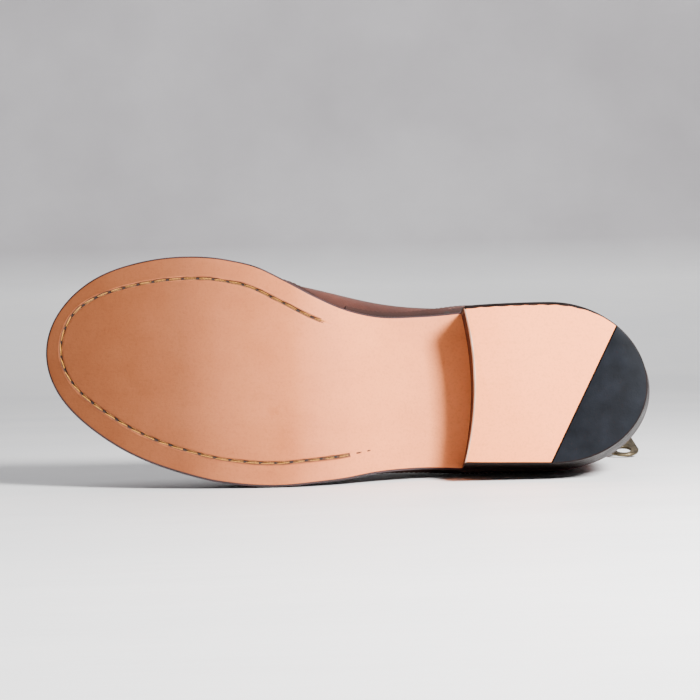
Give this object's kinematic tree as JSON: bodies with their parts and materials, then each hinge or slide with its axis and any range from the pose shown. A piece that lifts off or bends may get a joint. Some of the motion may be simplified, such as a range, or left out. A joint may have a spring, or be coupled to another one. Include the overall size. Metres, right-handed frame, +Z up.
{
  "type": "brogue boot",
  "caption": "Right ankle boot in brogued leather with a leather sole, stacked heel, pinked wing tip and counter, and a brass zip up the back, lying on its outer side.",
  "frame": {"origin": "middle of the bounding box's underside, on the floor that the boot lies on", "axes": "+X from toe to heel, +Y from sole to collar, +Z up from the outer side of the boot to its inner side"},
  "size_m": [0.2928, 0.1544, 0.1075],
  "materials": {
    "sole_leather": "smooth natural leather",
    "heel_leather": "burnished dark edge",
    "upper_leather": "waxed calf",
    "rubber": "matt",
    "zip_fabric": "woven tape",
    "antique_brass": "antique"
  },
  "bodies": {
    "boot": {"outsole": "sole_leather", "welt": "upper_leather", "insole": "sole_leather", "heel_stack": "heel_leather", "top_piece": "sole_leather", "top_piece_rubber": "rubber", "upper": "upper_leather", "wing_tip": "upper_leather", "heel_counter": "upper_leather", "collar_band": "upper_leather", "zip_facing_medial": "upper_leather", "zip_facing_lateral": "upper_leather", "zip_tape": "zip_fabric", "zip_teeth": "antique_brass", "zip_stop": "antique_brass", "zip_slider": "antique_brass"},
    "bail": {"zip_bail": "antique_brass"},
    "tab": {"zip_tab": "antique_brass"}
  },
  "joints": [
    {"name": "bail_swing", "type": "hinge", "parent": "boot", "child": "bail", "pos_m": [0.137, 0.06062, 0.03131], "axis": [-0.0373, -0.9985, 0.0409], "range_deg": [-10, 95]},
    {"name": "tab_lift", "type": "hinge", "parent": "bail", "child": "tab", "pos_m": [0.13905, 0.05973, 0.01138], "axis": [-0.9991, 0.0381, 0.0192], "range_deg": [-200, 75]}
  ]
}
